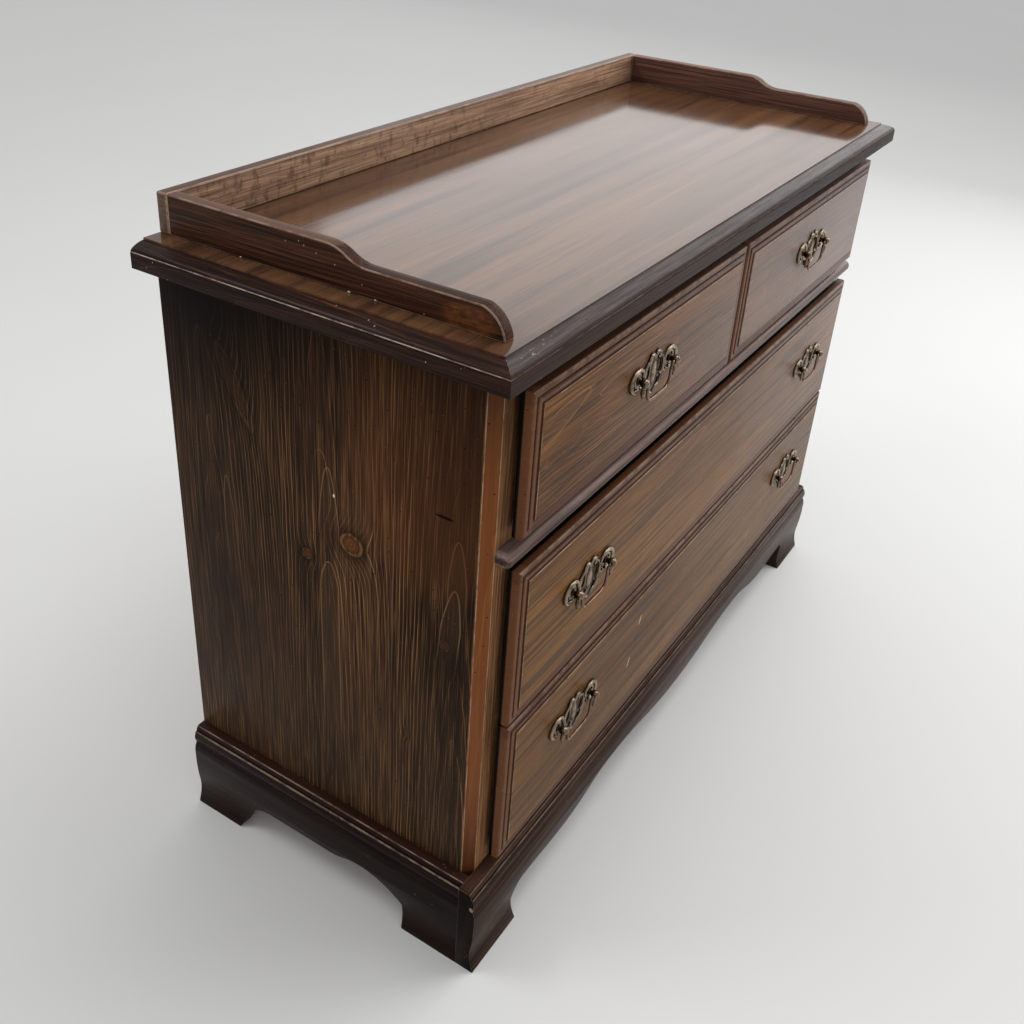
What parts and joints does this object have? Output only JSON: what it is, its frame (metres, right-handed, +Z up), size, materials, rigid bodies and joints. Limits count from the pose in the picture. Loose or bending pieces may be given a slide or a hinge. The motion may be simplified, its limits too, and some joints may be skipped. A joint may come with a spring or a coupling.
{
  "type": "dresser",
  "caption": "Walnut-stained pine chest of drawers on a scalloped bracket base, with a low gallery around its laminate top, moulded drawer fronts and swinging bail pulls.",
  "frame": {"origin": "on the floor, under the middle of the bounding box, pulls included", "axes": "+X across the width to the viewer's right, +Y to the back, so the drawers face -Y, +Z up"},
  "size_m": [1.124, 0.4634, 0.8465],
  "materials": {
    "dark_pine": "satin lacquer over walnut stain",
    "knotty_pine": "satin lacquer over walnut stain",
    "drawer_pine": "satin lacquer over walnut stain",
    "espresso_moulding": "satin lacquer, near black",
    "walnut_laminate": "semi-gloss wood-print laminate",
    "bare_pine": "unfinished pine",
    "back_sheet": "raw hardboard",
    "aged_brass": "antiqued, dark in the recesses",
    "screw_steel": "plain zinc"
  },
  "bodies": {
    "case": {"left_side_panel": "knotty_pine", "right_side_panel": "knotty_pine", "left_front_stile": "dark_pine", "right_front_stile": "dark_pine", "top_rail": "dark_pine", "waist_rail": "dark_pine", "lower_rail": "dark_pine", "bottom_rail": "dark_pine", "centre_stile": "dark_pine", "waist_moulding": "dark_pine", "back_panel": "back_sheet", "back_screws": "screw_steel", "top_panel": "dark_pine", "top_laminate": "walnut_laminate", "top_moulding_front": "espresso_moulding", "top_moulding_left": "espresso_moulding", "top_moulding_right": "espresso_moulding", "gallery_back_rail": "dark_pine", "gallery_left_rail": "dark_pine", "gallery_right_rail": "dark_pine", "base_front": "espresso_moulding", "base_left": "espresso_moulding", "base_right": "espresso_moulding", "base_back": "bare_pine", "base_corner_blocks": "bare_pine", "drawer_runners": "bare_pine"},
    "drawer_top_left": {"top_left_drawer_front": "drawer_pine", "top_left_drawer_left_side": "bare_pine", "top_left_drawer_right_side": "bare_pine", "top_left_drawer_back": "bare_pine", "top_left_drawer_bottom": "bare_pine", "top_left_backplates": "aged_brass", "top_left_pull_posts": "aged_brass"},
    "drawer_top_right": {"top_right_drawer_front": "drawer_pine", "top_right_drawer_left_side": "bare_pine", "top_right_drawer_right_side": "bare_pine", "top_right_drawer_back": "bare_pine", "top_right_drawer_bottom": "bare_pine", "top_right_backplates": "aged_brass", "top_right_pull_posts": "aged_brass"},
    "drawer_middle": {"middle_drawer_front": "drawer_pine", "middle_drawer_left_side": "bare_pine", "middle_drawer_right_side": "bare_pine", "middle_drawer_back": "bare_pine", "middle_drawer_bottom": "bare_pine", "middle_backplates": "aged_brass", "middle_pull_posts": "aged_brass"},
    "drawer_bottom": {"bottom_drawer_front": "drawer_pine", "bottom_drawer_left_side": "bare_pine", "bottom_drawer_right_side": "bare_pine", "bottom_drawer_back": "bare_pine", "bottom_drawer_bottom": "bare_pine", "bottom_backplates": "aged_brass", "bottom_pull_posts": "aged_brass"},
    "top_left_bail": {"top_left_bail": "aged_brass"},
    "top_right_bail": {"top_right_bail": "aged_brass"},
    "middle_left_bail": {"middle_left_bail": "aged_brass"},
    "middle_right_bail": {"middle_right_bail": "aged_brass"},
    "bottom_left_bail": {"bottom_left_bail": "aged_brass"},
    "bottom_right_bail": {"bottom_right_bail": "aged_brass"}
  },
  "joints": [
    {"name": "top_left_slide", "type": "slide", "parent": "case", "child": "drawer_top_left", "axis": [0, -1, 0], "range_m": [0, 0.3]},
    {"name": "top_right_slide", "type": "slide", "parent": "case", "child": "drawer_top_right", "axis": [0, -1, 0], "range_m": [0, 0.3]},
    {"name": "middle_slide", "type": "slide", "parent": "case", "child": "drawer_middle", "axis": [0, -1, 0], "range_m": [0, 0.3]},
    {"name": "bottom_slide", "type": "slide", "parent": "case", "child": "drawer_bottom", "axis": [0, -1, 0], "range_m": [0, 0.3]},
    {"name": "top_left_bail_hinge", "type": "hinge", "parent": "drawer_top_left", "child": "top_left_bail", "pos_m": [-0.253, -0.22625, 0.68425], "axis": [-1, 0, 0], "range_deg": [-8, 85]},
    {"name": "top_right_bail_hinge", "type": "hinge", "parent": "drawer_top_right", "child": "top_right_bail", "pos_m": [0.253, -0.22625, 0.68425], "axis": [-1, 0, 0], "range_deg": [-8, 85]},
    {"name": "middle_left_bail_hinge", "type": "hinge", "parent": "drawer_middle", "child": "middle_left_bail", "pos_m": [-0.354, -0.22625, 0.468], "axis": [-1, 0, 0], "range_deg": [-8, 85]},
    {"name": "middle_right_bail_hinge", "type": "hinge", "parent": "drawer_middle", "child": "middle_right_bail", "pos_m": [0.354, -0.22625, 0.468], "axis": [-1, 0, 0], "range_deg": [-8, 85]},
    {"name": "bottom_left_bail_hinge", "type": "hinge", "parent": "drawer_bottom", "child": "bottom_left_bail", "pos_m": [-0.354, -0.22625, 0.2695], "axis": [-1, 0, 0], "range_deg": [-8, 85]},
    {"name": "bottom_right_bail_hinge", "type": "hinge", "parent": "drawer_bottom", "child": "bottom_right_bail", "pos_m": [0.354, -0.22625, 0.2695], "axis": [-1, 0, 0], "range_deg": [-8, 85]}
  ]
}
